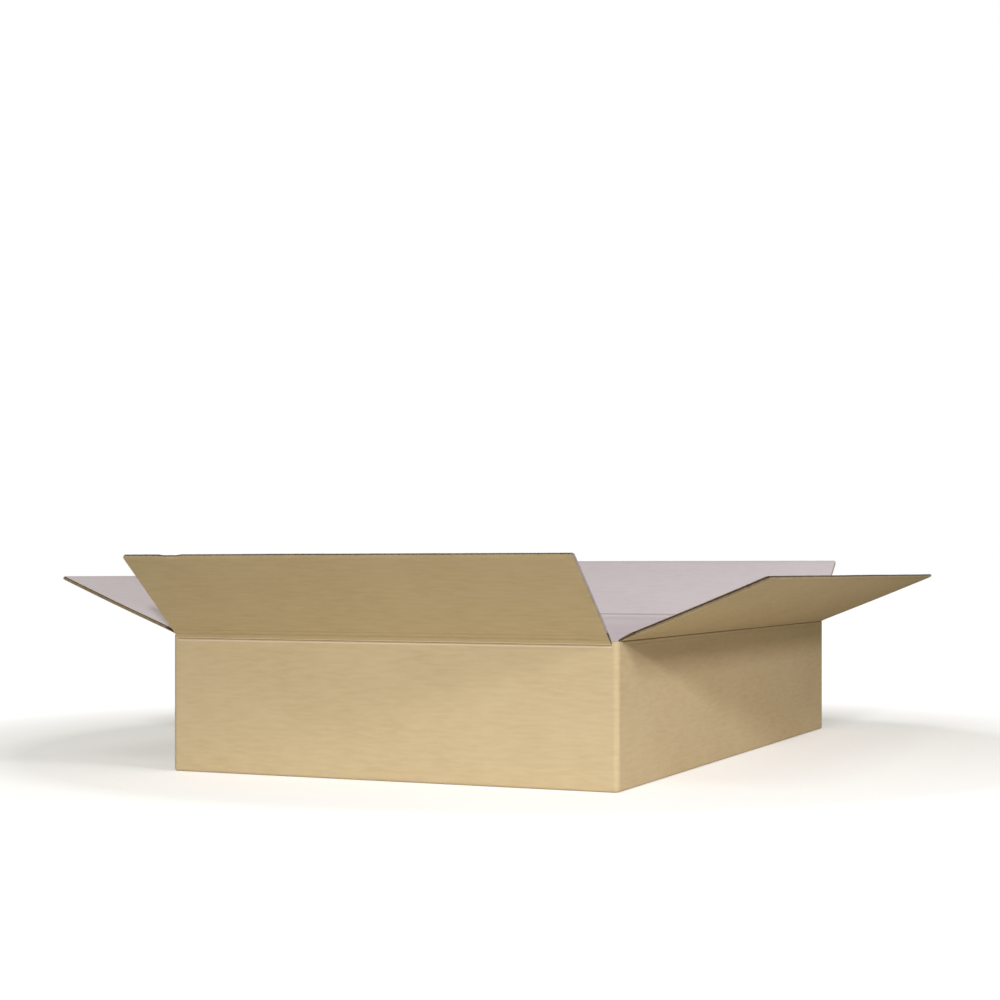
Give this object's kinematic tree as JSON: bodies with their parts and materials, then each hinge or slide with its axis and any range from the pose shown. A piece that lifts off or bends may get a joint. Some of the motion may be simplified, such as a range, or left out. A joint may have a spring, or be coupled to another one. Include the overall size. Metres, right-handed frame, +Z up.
{
  "type": "slotted cardboard carton",
  "caption": "Shallow slotted carton of corrugated board, closed at the bottom, with its four short top flaps hinged open outwards.",
  "frame": {"origin": "centre of the underside, on the surface that the carton stands on", "axes": "+Z up, X along the short front and back walls, Y along the long side walls, front at -Y"},
  "size_m": [0.8261, 1.0435, 0.2375],
  "materials": {
    "kraft_board": "matte brown kraft paper over fluted board, pale grey inside"
  },
  "bodies": {
    "carton": {"carton_body": "kraft_board"},
    "front": {"front_flap": "kraft_board"},
    "right": {"right_flap": "kraft_board"},
    "back": {"back_flap": "kraft_board"},
    "left": {"left_flap": "kraft_board"}
  },
  "joints": [
    {"name": "front_score", "type": "hinge", "parent": "carton", "child": "front", "pos_m": [0, -0.415, 0.1457], "axis": [1, 0, 0], "range_deg": [-140, 95]},
    {"name": "right_score", "type": "hinge", "parent": "carton", "child": "right", "pos_m": [0.26, 0, 0.15], "axis": [0, 1, 0], "range_deg": [-157.8, 77.2]},
    {"name": "back_score", "type": "hinge", "parent": "carton", "child": "back", "pos_m": [0, 0.415, 0.1457], "axis": [-1, 0, 0], "range_deg": [-141.4, 93.6]},
    {"name": "left_score", "type": "hinge", "parent": "carton", "child": "left", "pos_m": [-0.26, 0, 0.15], "axis": [0, -1, 0], "range_deg": [-158.3, 76.7]}
  ]
}
